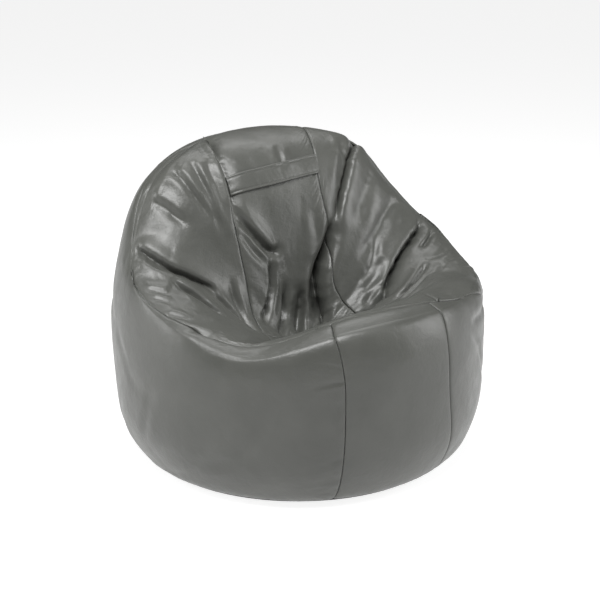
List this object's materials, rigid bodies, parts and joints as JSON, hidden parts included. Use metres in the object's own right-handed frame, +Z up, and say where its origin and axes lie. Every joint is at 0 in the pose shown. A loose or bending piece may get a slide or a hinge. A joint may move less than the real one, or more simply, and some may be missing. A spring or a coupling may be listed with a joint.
{
  "type": "bean bag chair",
  "caption": "Round bean bag chair with arms and a tall back, in grey leather-look panels, with a flat carry handle across the backrest and a zipped, lined filling.",
  "frame": {"origin": "centre of the round base's underside, on the floor", "axes": "+Z up; the sitter faces -Y, so the back is towards +Y and the sitter's left is +X"},
  "size_m": [0.8996, 0.8981, 0.7415],
  "materials": {
    "leather": "satin",
    "base_fabric": "matte",
    "zip_tape": "matte",
    "zip_coil": "satin",
    "zip_metal": "satin",
    "liner_fabric": "matte",
    "beads": "matte",
    "label": "matte"
  },
  "bodies": {
    "chair": {"front_panel": "leather", "side_panel_left": "leather", "side_panel_right": "leather", "rear_panel": "leather", "zip_facing": "leather", "wing_panel_left": "leather", "wing_panel_right": "leather", "backrest_panel": "leather", "seat_panel": "leather", "carry_handle": "leather", "base_panel": "base_fabric", "base_welt": "base_fabric", "zip_tape_upper": "zip_tape", "zip_coil_upper": "zip_coil", "zip_tape_lower": "zip_tape", "zip_coil_lower": "zip_coil", "zip_top_stop": "zip_metal", "zip_bottom_stop": "zip_metal", "liner_zip_upper": "zip_tape", "liner_zip_lower": "zip_tape", "inner_liner": "liner_fabric", "bead_fill": "beads", "care_label": "label"},
    "zip_slider": {"zip_slider": "zip_metal"},
    "zip_pull": {"zip_pull": "zip_metal"},
    "liner_zip_slider": {"liner_zip_slider": "zip_metal"}
  },
  "joints": [
    {"name": "zip_travel", "type": "hinge", "parent": "chair", "child": "zip_slider", "pos_m": [0, 0, 0.048], "axis": [0, 0, 1], "range_deg": [0, 80]},
    {"name": "pull_flip", "type": "hinge", "parent": "zip_slider", "child": "zip_pull", "pos_m": [0.26542, 0.31632, 0.0468], "axis": [-0.2765, -0.3295, -0.9028], "range_deg": [0, 180]},
    {"name": "liner_zip_travel", "type": "hinge", "parent": "chair", "child": "liner_zip_slider", "pos_m": [0, 0, 0.107], "axis": [0, 0, 1], "range_deg": [0, 36]}
  ]
}
